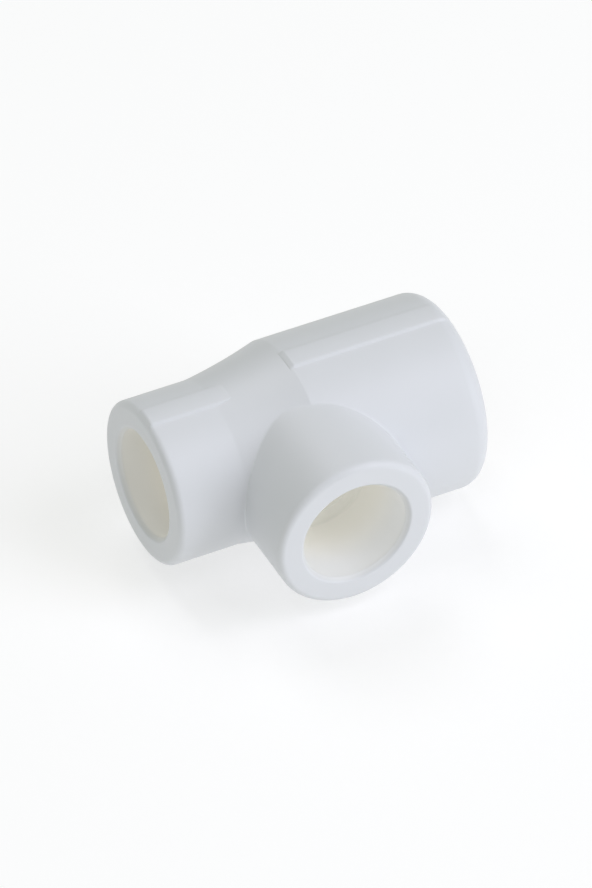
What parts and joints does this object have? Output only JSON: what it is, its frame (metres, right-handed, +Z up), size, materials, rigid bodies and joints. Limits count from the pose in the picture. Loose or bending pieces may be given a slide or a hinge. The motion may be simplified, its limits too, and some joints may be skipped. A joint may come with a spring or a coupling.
{
  "type": "reducing tee fitting",
  "caption": "Moulded plastic reducing tee for socket-fusion pipe: plain round sockets, a run that tapers to its smaller end, and raised guide ribs.",
  "frame": {"origin": "where the axis of the run crosses the axis of the branch, in the middle of the waterway", "axes": "+X along the run towards the large socket, -Y along the branch towards its mouth, +Z up through the guide ribs on top of the run"},
  "size_m": [0.0583, 0.0448, 0.0358],
  "materials": {
    "polypropylene": "satin, as moulded; natural white polypropylene random copolymer that lets a little light through"
  },
  "bodies": {
    "root": {"junction": "polypropylene", "large_socket": "polypropylene", "small_socket": "polypropylene", "branch_socket": "polypropylene", "large_rib_top": "polypropylene", "large_rib_underside": "polypropylene", "small_rib_top": "polypropylene", "small_rib_underside": "polypropylene"}
  },
  "joints": []
}
